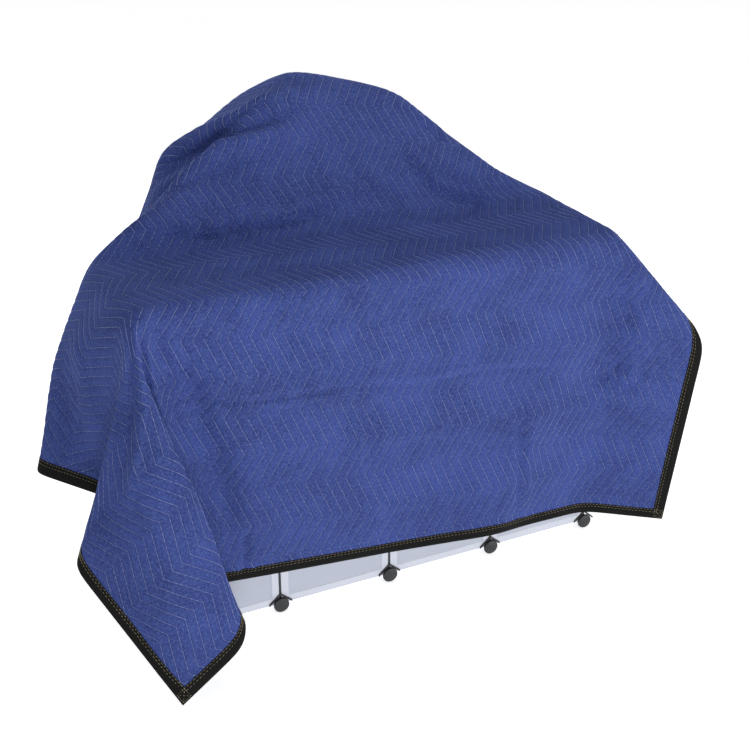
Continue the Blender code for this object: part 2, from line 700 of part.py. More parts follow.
def main():
    """Build the blanket, the rack, its connectors and the box under the peak."""
    clear_scene()
    collection = new_collection("moving_blanket_on_rack")
    cutters = new_collection("cutters")
    cloth = new_material("quilted_blue_cotton", (0.045, 0.085, 0.330), 0.9)
    tape = new_material("black_binding", (0.012, 0.012, 0.011), 0.85)
    frosted = new_material("frosted_plastic", (0.56, 0.59, 0.67), 0.45)
    black = new_material("black_plastic", (0.02, 0.02, 0.022), 0.5)
    pieces = build_blanket(collection, cloth, tape)
    pieces += build_front_row(collection, frosted, black)
    pieces += build_caps(collection, black)
    pieces += build_rear_row(collection, frosted)
    pieces += build_top_box(collection, frosted)
    pieces += build_connectors(collection, cutters, black)
    stand_at_origin(pieces, collection)


main()
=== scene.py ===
# %% [markdown]
# # A moving blanket over a storage rack
#
# This lesson dresses a packed construction model. The blanket there is a coarse solid, and here it
# becomes quilted cloth with every row of stitches, a woven binding and its sewing. Lengths are in
# metres, but for the tables of points and folds, which are in millimetres. The frame is loaded
# first, and its boxes say where everything goes.

# %% Load the frame
import math

import bmesh
import bpy
import numpy as np
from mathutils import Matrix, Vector
from mathutils.geometry import delaunay_2d_cdt


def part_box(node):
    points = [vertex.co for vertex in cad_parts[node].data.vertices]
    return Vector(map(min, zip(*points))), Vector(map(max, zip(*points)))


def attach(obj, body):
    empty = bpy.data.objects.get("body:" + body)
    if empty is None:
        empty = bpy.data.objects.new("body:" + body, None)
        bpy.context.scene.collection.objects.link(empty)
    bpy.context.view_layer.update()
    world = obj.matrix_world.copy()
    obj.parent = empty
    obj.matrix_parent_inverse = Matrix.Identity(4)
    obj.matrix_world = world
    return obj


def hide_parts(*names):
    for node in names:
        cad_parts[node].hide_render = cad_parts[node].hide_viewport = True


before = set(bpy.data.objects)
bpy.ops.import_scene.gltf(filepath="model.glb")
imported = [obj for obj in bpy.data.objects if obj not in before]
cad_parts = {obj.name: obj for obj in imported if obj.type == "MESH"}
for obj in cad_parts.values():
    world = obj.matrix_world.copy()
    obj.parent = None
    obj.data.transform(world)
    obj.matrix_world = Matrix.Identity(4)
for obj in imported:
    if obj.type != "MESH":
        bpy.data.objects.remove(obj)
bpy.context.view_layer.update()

# %% [markdown]
# The rack is the ruler. Its left side plate is centred on the rack's left end and halfway into a
# bay, so its box gives the rack's own corner, from which the drape is measured.

# %% The rack's corner
BAY = 0.310
side_low, side_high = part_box("side_left")
RACK_CORNER = np.array([
    (side_low.x + side_high.x) / 2.0,
    (side_low.y + side_high.y) / 2.0 - BAY / 2.0,
    0.0,
])
print("rack corner:", RACK_CORNER.round(4))

# %% [markdown]
# ## Helpers for meshes and materials
#
# Blender can build shapes from primitives and modifiers, or from arrays of points. Cloth follows a
# formula at every point, so arrays suit it: numpy works out all points at once, and one call puts
# them into the mesh. Colours are written as sRGB hex, as a paint chart gives them, and turned to
# the linear values that shaders need.


# %% Colour and node helpers
def colour(hex_code):
    """Linear RGBA of an sRGB hex code: each channel below 0.04045 is divided by 12.92, and above
    it is shifted, scaled and raised to the power 2.4."""
    channels = [int(hex_code[k:k + 2], 16) / 255.0 for k in (1, 3, 5)]
    linear = [c / 12.92 if c <= 0.04045 else ((c + 0.055) / 1.055) ** 2.4 for c in channels]
    return (*linear, 1.0)


def new_material(name, base, roughness, **settings):
    """A material with its Principled shader. settings are further sockets by name."""
    material = bpy.data.materials.new(name)
    material.use_nodes = True
    shader = material.node_tree.nodes["Principled BSDF"]
    shader.inputs["Base Color"].default_value = colour(base)
    shader.inputs["Roughness"].default_value = roughness
    for socket, value in settings.items():
        shader.inputs[socket].default_value = value
    return material


def add_node(material, kind, inputs, output=0, **properties):
    """Add a shader node and return one of its output sockets, the first unless output says other.

    inputs gives each socket, by name or number, a value, a colour's hex code or another node's
    output socket to join. properties are the node's own settings."""
    node = material.node_tree.nodes.new(kind)
    for name, value in properties.items():
        setattr(node, name, value)
    for socket, value in inputs.items():
        if isinstance(value, bpy.types.NodeSocket):
            material.node_tree.links.new(node.inputs[socket], value)
        else:
            node.inputs[socket].default_value = colour(value) if str(value)[:1] == "#" else value
    return node.outputs[output]


def dress(material, tone, bump):
    """Join a colour socket and a bump's normal socket to the material's Principled shader."""
    shader = material.node_tree.nodes["Principled BSDF"]
    material.node_tree.links.new(shader.inputs["Base Color"], tone)
    material.node_tree.links.new(shader.inputs["Normal"], bump)
    return material


# %% Mesh helpers
def grid_faces(rows, columns, first=0, flipped=False):
    """Four-cornered faces of a grid of rows by columns points, numbered row after row."""
    number = first + np.arange(rows * columns).reshape(rows, columns)
    corners = (number[:-1, :-1], number[1:, :-1], number[1:, 1:], number[:-1, 1:])
    faces = np.stack([c.ravel() for c in corners], axis=1)
    return faces[:, ::-1] if flipped else faces


def new_piece(name, points, faces, material, uv=None, smooth=True):
    """A mesh object at the origin that rides on the part's one body.

    uv gives each point its place in the flat cloth, which every face corner then takes."""
    mesh = bpy.data.meshes.new(name)
    mesh.from_pydata(np.asarray(points).tolist(), [], [list(map(int, face)) for face in faces])
    if uv is not None:
        corner_point = np.zeros(len(mesh.loops), dtype=np.int32)
        mesh.loops.foreach_get("vertex_index", corner_point)
        layer = mesh.uv_layers.new(name="flat_cloth")
        layer.data.foreach_set("uv", np.asarray(uv, dtype=np.float32)[corner_point].ravel())
    mesh.polygons.foreach_set("use_smooth", np.full(len(mesh.polygons), smooth))
    mesh.update()
    mesh.materials.append(material)
    piece = bpy.data.objects.new(name, mesh)
    bpy.context.scene.collection.objects.link(piece)
    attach(piece, "root")
    return piece


def triangles_of(piece):
    """How many triangles a piece has."""
    return sum(len(face.vertices) - 2 for face in piece.data.polygons)


# %% [markdown]
# ## The drape
#
# A thick quilted blanket does not stretch. It hangs in nearly flat facets between folds, and turns
# softly over each fold. Blender's cloth simulation could find such a shape, but not this one: the
# flap at the left, the nose at the right and the askew lie come from how it was thrown. So the
# folds are listed one by one. Each named point has a place in the flat cloth (s along the long side,
# t along the short side) and a place over the rack. A triangulation that keeps every fold as an
# edge cuts the cloth into facets, and a bell curve 28 mm wide rounds them.

# %% The drape's points and folds
LONG_SIDE = 2.03
SHORT_SIDE = 1.83
FOLD_ROUNDING = 0.028
DRAPE_CELL = 0.005
SAME_PLACE = 0.00001
EDGE_SLACK = 0.000001
NO_AREA = 1e-9
MM = 1000.0  # millimetres in a metre
DRAPE_POINTS = {
    # (s and t in the flat cloth, then x, y and z from the rack's corner), in millimetres
    # front hem, from the hanging corner flap to the right corner
    "flap_tip": (0, 0, -40, -290, 40),
    "flap_ridge": (185, 0, 127, -245, 116),
    "flap_ridge_2": (275, 0, 156, -190, 158),
    "flap_back": (505, 0, -30, -75, 168),
    "front_0": (555, 0, -8, -30, 168),
    "front_1": (850, 0, 266, -32, 140),
    "front_2": (1200, 0, 614, -38, 114),
    "front_3": (1480, 0, 893, -70, 104),
    "front_4": (1610, 0, 1018, -30, 78),
    "front_5": (1800, 0, 1212, -30, 74),
    "right_tip": (2030, 0, 1425, -120, 40),
    # right hem
    "right_nose": (2030, 520, 1508, -112, 562),
    "right_nose_high": (2030, 612, 1492, -50, 626),
    "right_in": (2030, 860, 1300, 45, 652),
    "right_mid": (2030, 1120, 1330, 270, 640),
    "right_nose_2": (2030, 1420, 1420, 500, 640),
    "back_right": (2030, 1830, 1230, 760, 570),
    # back hem
    "back_3": (1660, 1830, 1080, 680, 850),
    "back_2": (1285, 1830, 870, 690, 1075),
    "back_1": (925, 1830, 500, 700, 1060),
    "back_0": (620, 1830, 250, 660, 900),
    "back_left": (0, 1830, 120, 760, 380),
    # left hem
    "left_nose_2": (0, 1500, -60, 560, 440),
    "left_in_2": (0, 1200, -10, 380, 420),
    "left_nose": (0, 930, -228, 225, 425),
    "left_in": (0, 660, -70, 50, 398),
    "flap_left": (0, 410, -205, -60, 325),
    # over the front row
    "front_left": (500, 720, -20, -35, 890),
    "front_right": (1780, 832, 1270, -35, 890),
    "rear_left": (469, 1079, -25, 330, 890),
    "rear_right": (1749, 1191, 1262, 330, 905),
    "dip_left": (989, 1094, 500, 280, 905),
    "dip_right": (1347, 1126, 860, 280, 900),
    # over the box behind
    "box_front_left": (957, 1462, 500, 430, 1220),
    "box_front_right": (1316, 1484, 865, 430, 1190),
    "box_back_right": (1294, 1713, 860, 650, 1175),
    "box_back_left": (935, 1692, 485, 640, 1190),
    "peak": (1030, 1570, 580, 530, 1262),
    # hanging between the box and the corners
    "left_valley": (220, 1000, -155, 280, 665),
    "left_ridge": (550, 1380, 170, 460, 940),
    "left_ridge_2": (660, 1600, 240, 560, 1055),
    "right_ridge": (1460, 1390, 985, 395, 1085),
    "right_ridge_2": (1600, 1290, 1120, 360, 985),
}
FOLDS_FROM = {
    "front_left": "front_right rear_left flap_tip flap_ridge flap_ridge_2 flap_back front_0 "
        "flap_left left_in",
    "front_right": "rear_right right_nose right_nose_high right_tip front_5 right_in",
    "rear_left": "dip_left box_front_left left_valley left_in_2 left_ridge left_nose_2",
    "dip_left": "dip_right box_front_left",
    "dip_right": "rear_right box_front_right",
    "box_front_left": "box_front_right peak left_ridge_2",
    "box_front_right": "right_ridge box_back_right",
    "right_ridge": "right_ridge_2",
    "right_ridge_2": "rear_right",
    "box_back_right": "box_back_left",
    "box_back_left": "box_front_left",
    "peak": "box_front_right box_back_right box_back_left",
    "left_valley": "left_nose front_left",
    "left_ridge": "box_front_left",
    "left_ridge_2": "left_nose_2",
    "rear_right": "right_nose_2 right_mid",
}
FOLDS = [(start, end) for start, ends in FOLDS_FROM.items() for end in ends.split()]
BROAD_FOLDS = (
    # (height outwards, width, then s and t of each place along it), in millimetres
    (17, 34, 620, 1640, 767, 1560, 864, 1478, 960, 1452, 1060, 1475),
    (-13, 30, 610, 1530, 748, 1480, 864, 1405, 985, 1400),
    (14, 32, 640, 1290, 751, 1335, 870, 1330, 997, 1350),
    (-9, 36, 600, 1220, 720, 1262, 860, 1262),
    (10, 40, 570, 895, 701, 925, 821, 930, 1060, 905, 1230, 915),
    (-20, 50, 380, 625, 310, 575, 199, 498, 90, 430),
    (-10, 34, 625, 590, 650, 480, 685, 370, 722, 250, 755, 110),
    (6, 36, 400, 440, 350, 320, 300, 180),
    (6, 40, 360, 900, 230, 835, 120, 780),
    (-5, 36, 330, 985, 210, 915, 100, 870),
    (10, 38, 400, 1260, 270, 1300, 130, 1330),
    (-10, 36, 1372, 1235, 1450, 1205, 1540, 1175),
    (12, 40, 1370, 1310, 1460, 1275, 1560, 1235),
    (10, 34, 1800, 770, 1845, 620, 1880, 440),
    (-8, 34, 1730, 700, 1775, 540, 1810, 360),
    (11, 40, 1560, 1480, 1700, 1500, 1860, 1560),
    (-10, 40, 1600, 1390, 1740, 1380, 1900, 1400),
)
FOLD_END_SHARE = 0.18
FOLD_END_HEIGHT = 0.35
print("drape points:", len(DRAPE_POINTS), "folds:", len(FOLDS), "soft folds:", len(BROAD_FOLDS))


# %% The drape's surface
def drape_facets():
    """Cut the flat cloth into triangles whose edges include every fold."""
    names = list(DRAPE_POINTS)
    table = np.array([DRAPE_POINTS[name] for name in names]) / MM
    flat = [Vector((row[0], row[1])) for row in table]
    folds = [(names.index(a), names.index(b)) for a, b in FOLDS]
    result = delaunay_2d_cdt(flat, folds, [], 0, SAME_PLACE)
    source = [found[0] for found in result[3]]
    return table, [tuple(source[corner] for corner in face) for face in result[2]]


def blurred(grid, cell, reach):
    """Blend a grid with a bell curve along both directions. Past the border the grid goes on as
    its half turn about each border point, so that the border keeps its place."""
    count = int(np.ceil(3.0 * reach / cell))
    weights = np.exp(-0.5 * (np.arange(-count, count + 1) * cell / reach) ** 2)
    weights /= weights.sum()
    rows, columns = grid.shape[:2]
    wide = np.pad(grid, ((count, count), (count, count), (0, 0)), mode="reflect", reflect_type="odd")
    wide = sum(weight * wide[k:k + rows] for k, weight in enumerate(weights))
    return sum(weight * wide[:, k:k + columns] for k, weight in enumerate(weights))


def along_line(s, t, places):
    """Distance of flat places from a line of points, and how far along the line they lie, 0 to 1.

    For each stretch the foot of the perpendicular is held between its ends. The nearest foot counts.
    """
    points = np.reshape(places, (-1, 2)) / MM
    steps = np.diff(points, axis=0)
    lengths = np.hypot(steps[:, 0], steps[:, 1])
    starts = np.concatenate(([0.0], np.cumsum(lengths)))
    nearest = np.full(s.shape, np.inf)
    share = np.zeros(s.shape)
    for k, (step, length) in enumerate(zip(steps, lengths)):
        foot = ((s - points[k, 0]) * step[0] + (t - points[k, 1]) * step[1]) / length ** 2
        foot = np.clip(foot, 0.0, 1.0)
        gap = np.hypot(s - points[k, 0] - foot * step[0], t - points[k, 1] - foot * step[1])
        closer = gap < nearest
        nearest = np.where(closer, gap, nearest)
        share = np.where(closer, (starts[k] + foot * length) / starts[-1], share)
    return nearest, share


def ease(x):
    """A smooth step from 0 to 1: three times x squared less twice x cubed."""
    return x * x * (3.0 - 2.0 * x)


def fold_relief(s, t, folds):
    """Sum of soft folds: each is its height times a bell of the distance, lower at its two ends."""
    total = np.zeros(s.shape)
    for height, width, *places in folds:
        gap, share = along_line(s, t, places)
        fade = np.clip(np.minimum(share, 1.0 - share) / FOLD_END_SHARE, 0.0, 1.0)
        strength = FOLD_END_HEIGHT + (1.0 - FOLD_END_HEIGHT) * ease(fade)
        total += height / MM * strength * np.exp(-(gap * MM / width) ** 2)
    return total


def surface_frame(place, s_nodes, t_nodes):
    """Outward normals and area ratios of a grid of places, from its slopes along s and t."""
    along_s, along_t = np.gradient(place, s_nodes, t_nodes, axis=(0, 1))
    normal = np.cross(along_s, along_t)
    area_ratio = np.linalg.norm(normal, axis=2, keepdims=True)
    return normal / area_ratio, area_ratio


def drape_grids():
    """Middle surface, outward normals and area ratio on a regular grid of the flat cloth.

    A node's place is the mean of its facet's corners, weighted by barycentric coordinates. The
    area ratio is the drape's area over the flat area: small where a sharp fold gathers cloth."""
    table, triangles = drape_facets()
    s_nodes = np.linspace(0.0, LONG_SIDE, int(round(LONG_SIDE / DRAPE_CELL)) + 1)
    t_nodes = np.linspace(0.0, SHORT_SIDE, int(round(SHORT_SIDE / DRAPE_CELL)) + 1)
    s, t = np.meshgrid(s_nodes, t_nodes, indexing="ij")
    place = np.zeros(s.shape + (3,))
    for corners in triangles:
        a, b, c = (table[corner] for corner in corners)
        area = (b[0] - a[0]) * (c[1] - a[1]) - (c[0] - a[0]) * (b[1] - a[1])
        if abs(area) < NO_AREA:
            continue
        u = ((s - a[0]) * (c[1] - a[1]) - (c[0] - a[0]) * (t - a[1])) / area
        v = ((b[0] - a[0]) * (t - a[1]) - (s - a[0]) * (b[1] - a[1])) / area
        inside = (u >= -EDGE_SLACK) & (v >= -EDGE_SLACK) & (u + v <= 1.0 + EDGE_SLACK)
        blend = (1.0 - u - v)[..., None] * a[2:] + u[..., None] * b[2:] + v[..., None] * c[2:]
        place[inside] = blend[inside]
    place = blurred(place, DRAPE_CELL, FOLD_ROUNDING) + RACK_CORNER
    facet_normal, area_ratio = surface_frame(place, s_nodes, t_nodes)
    place = place + facet_normal * fold_relief(s, t, BROAD_FOLDS)[..., None]
    normal, _ = surface_frame(place, s_nodes, t_nodes)
    return place, normal, area_ratio


PLACE_GRID, NORMAL_GRID, AREA_GRID = drape_grids()


def blended(grid, x, y):
    """Values between a grid's nodes, at node numbers with a fraction: the four nearest nodes count
    by their nearness."""
    i = np.minimum(x.astype(int), grid.shape[0] - 2)
    j = np.minimum(y.astype(int), grid.shape[1] - 2)
    fx = (x - i)[..., None]
    fy = (y - j)[..., None]
    near = grid[i, j] * (1.0 - fy) + grid[i, j + 1] * fy
    far = grid[i + 1, j] * (1.0 - fy) + grid[i + 1, j + 1] * fy
    return near * (1.0 - fx) + far * fx


def unit(vectors):
    """Vectors divided by their own lengths."""
    return vectors / np.linalg.norm(vectors, axis=-1, keepdims=True)


def sample(grid, s, t):
    """Values at flat places of a grid that covers the whole cloth."""
    return blended(grid, np.clip(s / LONG_SIDE, 0.0, 1.0) * (grid.shape[0] - 1),
                   np.clip(t / SHORT_SIDE, 0.0, 1.0) * (grid.shape[1] - 1))


print("drape grid:", PLACE_GRID.shape[:2], "mean area ratio:", round(float(AREA_GRID.mean()), 3))

# %% [markdown]
# ## Creases
#
# A stored blanket keeps the marks of how it was folded, and the padding puckers where the cloth
# turns. Each mark is a soft ridge or trough along a short line of flat places, with its own width
# and height. A trough's height is negative.

# %% Crease table
CREASES = (
    # (height outwards, width, then s and t of each place along it), in millimetres
    # packing crease across the front: a double ridge with a trough between
    (-4.2, 7, 585, 504, 758, 481, 937, 484, 1027, 488),
    (3, 9, 590, 520, 758, 498, 937, 500, 1027, 505),
    (2.6, 8, 600, 488, 758, 466, 937, 468, 1027, 472),
    (-3.4, 8, 1027, 488, 1219, 470, 1405, 490, 1635, 475),
    (3.2, 11, 1040, 508, 1219, 490, 1400, 510, 1620, 496),
    (-6.5, 10, 1720, 440, 1780, 422, 1830, 410, 1905, 392),
    (6, 12, 1735, 466, 1800, 446, 1850, 436, 1930, 412),
    (-5.5, 9, 1760, 400, 1800, 430, 1830, 470),
    (5, 10, 1790, 392, 1835, 425, 1868, 462),
    (-5.5, 9, 1850, 372, 1880, 410, 1900, 450),
    # upright crease above the third connector, and the soft folds beside it
    (-9, 12, 1533, 350, 1542, 205, 1576, 40),
    (7, 15, 1560, 345, 1571, 205, 1604, 40),
    (-6, 14, 1520, 150, 1497, 110, 1472, 80),
    # pinch at the hem beside the hanging corner
    (-5.5, 8, 784, 20, 787, 130),
    (3.5, 10, 806, 20, 806, 110),
    (3, 10, 765, 20, 768, 90),
    # front top edge: a raised lip and the puckers below it
    (4.5, 13, 540, 745, 664, 752, 807, 765, 1146, 795, 1400, 822),
    (-3.5, 10, 560, 778, 664, 780, 807, 796, 1146, 826, 1400, 850),
    (-4, 9, 660, 725, 668, 655),
    (-4.5, 9, 715, 735, 727, 665),
    (4, 10, 742, 738, 757, 660),
    (-4.5, 9, 800, 740, 806, 680),
    (3.5, 10, 850, 745, 864, 676),
    (-4, 9, 892, 748, 907, 688),
    (3.5, 10, 960, 752, 977, 694),
    (-3.5, 9, 1010, 756, 1022, 704),
    # valley beside the hanging corner
    (-16, 44, 600, 640, 638, 520, 680, 400, 722, 270, 755, 140),
    # cross-hatched wrinkles beside the hanging corner
    (-4, 8, 575, 600, 610, 560, 664, 515),
    (3.6, 9, 590, 622, 632, 576, 690, 528),
    (-3.6, 8, 604, 640, 652, 590, 712, 545),
    (-3.4, 7, 590, 540, 625, 565, 665, 606),
    (3, 8, 606, 525, 644, 552, 690, 596),
    (-3, 7, 632, 520, 672, 546, 714, 585),
    # the hanging corner's flat ridge: an edge down each side of it
    (-9, 12, 500, 735, 440, 650, 362, 580, 279, 512, 199, 462),
    (8.5, 14, 510, 700, 462, 628, 385, 552, 300, 485, 215, 430),
    (10, 12, 528, 715, 540, 610, 568, 480, 612, 330, 676, 120),
    (-10.5, 15, 556, 705, 574, 610, 604, 492, 650, 345, 712, 150),
    (-4, 13, 410, 470, 355, 350, 300, 215),
    (4, 16, 250, 430, 215, 330, 190, 220),
    # left panel
    (-4, 12, 300, 930, 210, 870, 110, 820),
    (4.5, 15, 330, 880, 240, 820, 150, 760),
    # right side
    (-4, 12, 1780, 700, 1840, 560, 1900, 420),
    (5, 16, 1830, 720, 1890, 600, 1950, 480),
    # the rise to the box: crests and troughs that run down to the left, and one to the right
    (-11.2, 13, 985, 1440, 904, 1452, 827, 1471, 740, 1505, 655, 1560),
    (9.6, 15, 995, 1390, 930, 1358, 864, 1342, 771, 1372, 640, 1462),
    (-8, 13, 1030, 1440, 967, 1398, 904, 1385, 820, 1400),
    (-8, 14, 900, 1300, 820, 1272, 720, 1262, 640, 1280),
    (9.6, 16, 1312, 1345, 1360, 1280, 1402, 1230, 1512, 1198, 1588, 1166),
    (-10.4, 16, 1300, 1300, 1345, 1240, 1395, 1195, 1505, 1160),
    (-8, 12, 1535, 1182, 1502, 1132, 1459, 1083),
    (7.2, 13, 1352, 1425, 1400, 1412, 1445, 1385),
    (-6.4, 10, 1362, 1395, 1410, 1378, 1440, 1352),
    (-6.4, 14, 1130, 1330, 1160, 1260, 1200, 1210),
    (6.4, 15, 1060, 1330, 1080, 1250, 1110, 1200),
    # wavy crest where the rise meets the top, with puckers across it
    (11.2, 14, 648, 1168, 754, 1140, 854, 1152, 964, 1150, 1103, 1196),
    (8.8, 14, 1103, 1196, 1190, 1222, 1269, 1232),
    (-9.6, 12, 660, 1130, 754, 1108, 854, 1120, 964, 1118, 1090, 1150),
    (-6.4, 8, 735, 1170, 748, 1118),
    (5.6, 9, 768, 1172, 782, 1116),
    (-5.6, 8, 810, 1175, 818, 1126),
)
print("creases:", len(CREASES))

# %% [markdown]
# ## Unevenness
#
# Machine-quilted cloth is never even: the padding is lumpy and the cloth between two rows of
# stitches puckers. Smooth noise gives this: random numbers on a coarse lattice of the flat cloth,
# blended with a cubic ease between lattice points.


# %% Smooth noise
# Each layer is its strength, the size of its lumps, and the seed of its random numbers.
SWELL = ((0.0022, 0.160, 11), (0.0011, 0.060, 12))
LUMPS = ((0.16, 0.034, 21), (0.10, 0.019, 22))
SPARE_CELLS = 6
LATTICE_START = 1.5
LATTICE_END = 1.001


def smooth_noise(s, t, cell, seed):
    """Values from -1 to 1: random numbers on a lattice a cell apart, with an eased blend. The
    lattice starts a cell and a half before the cloth and ends a few cells past it."""
    generator = np.random.default_rng(seed)
    size = (int(LONG_SIDE / cell) + SPARE_CELLS, int(SHORT_SIDE / cell) + SPARE_CELLS, 1)
    lattice = generator.uniform(-1.0, 1.0, size)
    x = np.clip(s / cell + LATTICE_START, 0.0, size[0] - LATTICE_END)
    y = np.clip(t / cell + LATTICE_START, 0.0, size[1] - LATTICE_END)
    return blended(lattice, *(np.floor(v) + ease(v % 1.0) for v in (x, y)))[..., 0]


def noise_sum(s, t, layers):
    """Layers of smooth noise, each times its strength, added up."""
    return sum(strength * smooth_noise(s, t, cell, seed) for strength, cell, seed in layers)


# %% [markdown]
# ## The quilted panel
#
# The panel is two woven faces with a filling between, sewn through in zigzag rows about 27 mm
# apart. Between two rows the filling swells, and at a row it is pulled flat. Six columns of points
# follow each row's own zigzag, so that the channels stay crisp, and the rows of points pass
# through every kink. The back face needs only two columns to a row of stitches.

# %% Quilting sizes
BINDING_WIDTH = 0.030
BINDING_WALL = 0.0012
PANEL_EDGE = 0.0016
CREST_HALF = 0.0030
STITCHED_HALF = 0.0015
QUILT_INTERVALS = 74
ROW_PITCH = (LONG_SIDE - 2.0 * BINDING_WIDTH) / QUILT_INTERVALS
ZIGZAG_WIDTH = 0.053
ZIGZAG_STEP = 0.100
FIRST_KINK = 0.045
POINT_STEP = ZIGZAG_STEP / 8.0
EDGE_STEP = 0.00025
ROW_CLEARANCE = 0.003
COLUMN_PLACES = (0.0, 0.075, 0.225, 0.5, 0.775, 0.925)
PACKING_CREASE = (0.462, 0.510)
FREE_AREA_RATIO = 0.85
LEAST_SQUEEZE = 0.3
HEM_SQUEEZE = 0.5
PUFF_POWER = 0.6
PUFF_START = 0.012
RELIEF_START = 0.035
LEAST_RELIEF = 0.25
CARRIED_RELIEF = 0.4
CARRIED_ZONES = (
    # (least x, most x, least y, most y, least z) from the rack's corner
    (-0.02, 1.26, -0.03, 0.10, 0.85),  # over the rack's front edge
    (0.50, 0.87, 0.42, 0.65, 1.15),  # over the box behind
)


def zigzag(t):
    """Sideways step of a stitch row: a triangle wave with its kinks ZIGZAG_STEP apart."""
    phase = np.mod((t - FIRST_KINK) / ZIGZAG_STEP, 2.0)
    return ZIGZAG_WIDTH * (0.5 - np.abs(phase - 1.0))


def to_border(s, t):
    """Distance to the nearest edge of the flat cloth."""
    return np.minimum(np.minimum(s, LONG_SIDE - s), np.minimum(t, SHORT_SIDE - t))


def squeeze(s, t):
    """Share of its thickness that the padding keeps: less where a sharp fold gathers it."""
    share = np.clip(sample(AREA_GRID, s, t)[..., 0] / FREE_AREA_RATIO, LEAST_SQUEEZE, 1.0)
    return np.where(to_border(s, t) < BINDING_WIDTH, np.maximum(share, HEM_SQUEEZE), share)


def arch(phase):
    """0 at a row of stitches and 1 at the crest between two rows: a sine to the power 0.6."""
    return np.abs(np.sin(np.pi * phase)) ** PUFF_POWER


def puff(phase, s, t):
    """Half thickness between two rows of stitches: the arch, uneven from place to place, and flat
    under the binding."""
    lumps = 1.0 + noise_sum(s, t, LUMPS)
    free = np.clip((to_border(s, t) - BINDING_WIDTH) / PUFF_START, 0.0, 1.0)
    return STITCHED_HALF + (CREST_HALF - STITCHED_HALF) * arch(phase) * lumps * free


def cloth_point(s, t, offset):
    """Place of a point at an offset above the draped cloth's middle, creases and swell included."""
    relief = fold_relief(s, t, CREASES) + noise_sum(s, t, SWELL)
    relief = relief * np.clip(to_border(s, t) / RELIEF_START, LEAST_RELIEF, 1.0)
    relief = np.where(carried(s, t), np.maximum(relief, 0.0) * CARRIED_RELIEF, relief)
    normal = unit(sample(NORMAL_GRID, s, t))
    return sample(PLACE_GRID, s, t) + normal * (relief + offset)[..., None]


def carried(s, t):
    """Whether flat places lie over the rack's top or the box behind, where cloth cannot sag."""
    x, y, z = np.moveaxis(sample(PLACE_GRID, s, t) - RACK_CORNER, -1, 0)
    return np.any([(x > x_low) & (x < x_high) & (y > y_low) & (y < y_high) & (z > z_low)
                   for x_low, x_high, y_low, y_high, z_low in CARRIED_ZONES], axis=0)


# %% Stations of the panel
def panel_stations():
    """Flat places and phases between stitch rows of the face's points. Rows are three times as
    dense across the packing crease. A column keeps EDGE_STEP from its neighbour where the hem cuts
    its zigzag off, under the binding."""
    intervals = np.arange(-2, QUILT_INTERVALS + 2)
    phases = np.tile(COLUMN_PLACES, len(intervals))
    s_rest = BINDING_WIDTH + (np.repeat(intervals, len(COLUMN_PLACES)) + phases) * ROW_PITCH
    steps = np.arange(int(SHORT_SIDE / POINT_STEP) + 2)
    t_rows = np.mod(FIRST_KINK, POINT_STEP) + POINT_STEP * steps
    first, last = PANEL_EDGE + ROW_CLEARANCE, SHORT_SIDE - PANEL_EDGE - ROW_CLEARANCE
    t_rows = t_rows[(t_rows > first) & (t_rows < last)]
    near_crease = t_rows[(t_rows > PACKING_CREASE[0]) & (t_rows < PACKING_CREASE[1])]
    between = [near_crease + POINT_STEP * share for share in (1.0 / 3.0, 2.0 / 3.0)]
    t_rows = np.sort(np.concatenate(([PANEL_EDGE, SHORT_SIDE - PANEL_EDGE], t_rows, *between)))
    s, t = np.meshgrid(s_rest, t_rows, indexing="ij")
    s = s + zigzag(t)
    order = np.arange(len(s_rest))[:, None] * EDGE_STEP
    s = np.maximum(s, PANEL_EDGE + order)
    s = np.minimum(s, LONG_SIDE - PANEL_EDGE - order[::-1])
    return s, t, np.broadcast_to(phases[:, None], s.shape)


S_FACE, T_FACE, PHASE = panel_stations()
HALF = puff(PHASE, S_FACE, T_FACE) * squeeze(S_FACE, T_FACE)
print("panel face:", S_FACE.shape, "row pitch:", round(ROW_PITCH * 1000, 2), "mm")


# %% The panel's mesh
def build_panel(material):
    """Face and back, each a grid, joined by a rim. The back has every third column, so that one
    rim face takes three steps of the face and one of the back."""
    columns, rows = S_FACE.shape
    face_points = cloth_point(S_FACE, T_FACE, HALF)
    kept = np.unique(np.append(np.arange(0, columns, 3), columns - 1))
    s_back = S_FACE[kept]
    t_back = T_FACE[kept]
    back_points = cloth_point(s_back, t_back, -HALF[kept])
    first_back = columns * rows
    number = np.arange(columns * rows).reshape(columns, rows)
    number_back = first_back + np.arange(len(kept) * rows).reshape(len(kept), rows)
    faces = grid_faces(columns, rows).tolist()
    faces += grid_faces(len(kept), rows, first_back, flipped=True).tolist()
    for k, (start, end) in enumerate(zip(kept[:-1], kept[1:])):
        low, high = number[start:end + 1, 0], number[start:end + 1, -1]
        faces.append([*low[::-1], number_back[k, 0], number_back[k + 1, 0]])
        faces.append([*high, number_back[k + 1, -1], number_back[k, -1]])
    for j in range(rows - 1):
        faces.append([number[0, j], number[0, j + 1], number_back[0, j + 1], number_back[0, j]])
        faces.append([number[-1, j + 1], number[-1, j], number_back[-1, j], number_back[-1, j + 1]])
    points = np.concatenate((face_points.reshape(-1, 3), back_points.reshape(-1, 3)))
    uv = np.concatenate((np.stack((S_FACE, T_FACE), axis=-1).reshape(-1, 2),
                         np.stack((s_back, t_back), axis=-1).reshape(-1, 2)))
    piece = new_piece("quilted_panel", points, faces, material, uv)
    # painted shade: how deep each point lies between two crests, 1 at a row of stitches and 0 at the
    # crest; the cloth's material darkens the blue by it
    channel = 1.0 - np.concatenate((arch(PHASE).ravel(), arch(PHASE[kept]).ravel()))
    layer = piece.data.attributes.new("channel", "FLOAT", "POINT")
    layer.data.foreach_set("value", channel.astype(np.float32))
    return piece
